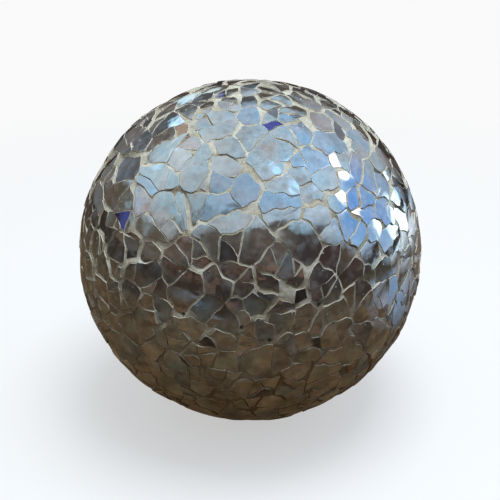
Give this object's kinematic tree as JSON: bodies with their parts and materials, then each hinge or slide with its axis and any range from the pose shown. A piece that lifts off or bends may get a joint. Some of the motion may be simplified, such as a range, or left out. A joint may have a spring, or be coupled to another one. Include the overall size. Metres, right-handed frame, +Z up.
{
  "type": "mirror ball",
  "caption": "Free-standing mirror ball: sheets of cracked mirror glass, joined by cream grout, over a hollow foam ball, on a round pad.",
  "frame": {"origin": "middle of the flat underside of the foot pad, on the ground, under the middle of the ball", "axes": "+Z up through the middle of the ball and its foot; +X and +Y level, with the side that faces -Y as the front"},
  "size_m": [0.16, 0.16, 0.1574],
  "materials": {
    "mirror": "cracked toughened mirror glass, slightly wavy, cool silver",
    "grout": "sandy cream cement grout, matt, with pits and olive stains",
    "adhesive": "matt grey-white tile adhesive",
    "polystyrene": "moulded polystyrene bead",
    "glue": "dried craft glue, satin, cream",
    "foam": "black closed-cell foam pad, matt"
  },
  "bodies": {
    "root": {"core_lower_half": "polystyrene", "core_upper_half": "polystyrene", "core_seam_glue": "glue", "adhesive_bed": "adhesive", "mirror_sheet_01": "mirror", "mirror_sheet_02": "mirror", "mirror_sheet_03": "mirror", "mirror_sheet_04": "mirror", "mirror_sheet_05": "mirror", "mirror_sheet_06": "mirror", "mirror_sheet_07": "mirror", "mirror_sheet_08": "mirror", "mirror_sheet_09": "mirror", "mirror_sheet_10": "mirror", "mirror_sheet_11": "mirror", "mirror_sheet_12": "mirror", "mirror_sheet_13": "mirror", "mirror_sheet_14": "mirror", "mirror_sheet_15": "mirror", "mirror_sheet_16": "mirror", "mirror_sheet_17": "mirror", "mirror_sheet_18": "mirror", "mirror_sheet_19": "mirror", "mirror_sheet_20": "mirror", "mirror_sheet_21": "mirror", "mirror_sheet_22": "mirror", "mirror_sheet_23": "mirror", "mirror_sheet_24": "mirror", "mirror_sheet_25": "mirror", "mirror_sheet_26": "mirror", "mirror_sheet_27": "mirror", "mirror_sheet_28": "mirror", "mirror_sheet_29": "mirror", "mirror_sheet_30": "mirror", "mirror_sheet_31": "mirror", "mirror_sheet_32": "mirror", "mirror_sheet_33": "mirror", "mirror_sheet_34": "mirror", "mirror_sheet_35": "mirror", "mirror_sheet_36": "mirror", "mirror_sheet_37": "mirror", "mirror_sheet_38": "mirror", "mirror_sheet_39": "mirror", "mirror_sheet_40": "mirror", "mirror_sheet_41": "mirror", "mirror_sheet_42": "mirror", "mirror_sheet_43": "mirror", "mirror_sheet_44": "mirror", "mirror_sheet_45": "mirror", "mirror_sheet_46": "mirror", "grout": "grout", "foot_pad": "foam", "foot_glue": "glue"}
  },
  "joints": []
}
